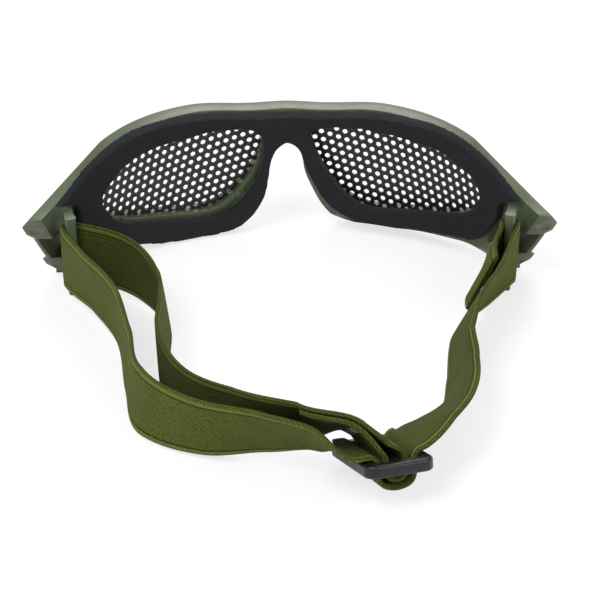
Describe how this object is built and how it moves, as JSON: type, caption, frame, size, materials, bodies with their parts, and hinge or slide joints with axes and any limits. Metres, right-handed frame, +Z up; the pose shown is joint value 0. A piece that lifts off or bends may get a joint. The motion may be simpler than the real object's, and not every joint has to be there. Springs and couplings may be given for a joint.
{
  "type": "safety goggles",
  "caption": "Olive-green wraparound safety goggles with perforated steel lenses, a dark face foam and an elastic webbing strap with a black slider",
  "frame": {"origin": "middle of the nose bridge, on the front face of the frame", "axes": "+X to the wearer's right, +Y the way the wearer looks, +Z up; the table is at z = -20 mm"},
  "size_m": [0.1558, 0.1597, 0.0416],
  "materials": {
    "frame_green": "satin moulded plastic, sage to olive green",
    "retainer_green": "satin moulded plastic, olive green",
    "lens_steel": "black coated perforated steel sheet",
    "screw_steel": "plain small steel screws",
    "foam": "closed-cell foam, near black, matt",
    "webbing": "knitted elastic webbing, olive green",
    "slider_black": "moulded nylon, black, satin gloss",
    "tack_thread": "light green sewing thread"
  },
  "bodies": {
    "goggles": {"front_frame": "frame_green", "mesh_lens_left": "lens_steel", "mesh_lens_right": "lens_steel", "lens_retainer_left": "retainer_green", "lens_retainer_right": "retainer_green", "retainer_screws_left": "screw_steel", "retainer_screws_right": "screw_steel", "face_foam": "foam", "strap_outer_ply": "webbing", "strap_inner_ply": "webbing", "strap_right_ply": "webbing", "strap_right_return": "webbing"},
    "strap_loop_left": {"strap_loop_left": "frame_green", "strap_wrap_left": "webbing"},
    "strap_loop_right": {"strap_loop_right": "frame_green", "strap_wrap_right": "webbing", "bartack_right": "tack_thread"},
    "slider": {"slider_buckle": "slider_black", "strap_slider_pass": "webbing", "strap_slider_fold": "webbing", "strap_tail": "webbing", "bartack_slider": "tack_thread"}
  },
  "joints": [
    {"name": "left_loop_hinge", "type": "hinge", "parent": "goggles", "child": "strap_loop_left", "pos_m": [-0.06689, -0.03769, -0.008], "axis": [0, 0, 1], "range_deg": [-12, 25], "deforming": ["strap_outer_ply", "strap_inner_ply"]},
    {"name": "right_loop_hinge", "type": "hinge", "parent": "goggles", "child": "strap_loop_right", "pos_m": [0.06689, -0.03769, -0.008], "axis": [0, 0, 1], "range_deg": [-25, 12], "deforming": ["strap_right_ply", "strap_right_return"]},
    {"name": "slider_slide", "type": "slide", "parent": "goggles", "child": "slider", "axis": [0.953, 0.2986, -0.0501], "range_m": [-0.012, 0.006], "deforming": ["strap_outer_ply", "strap_inner_ply", "strap_right_ply"]}
  ]
}
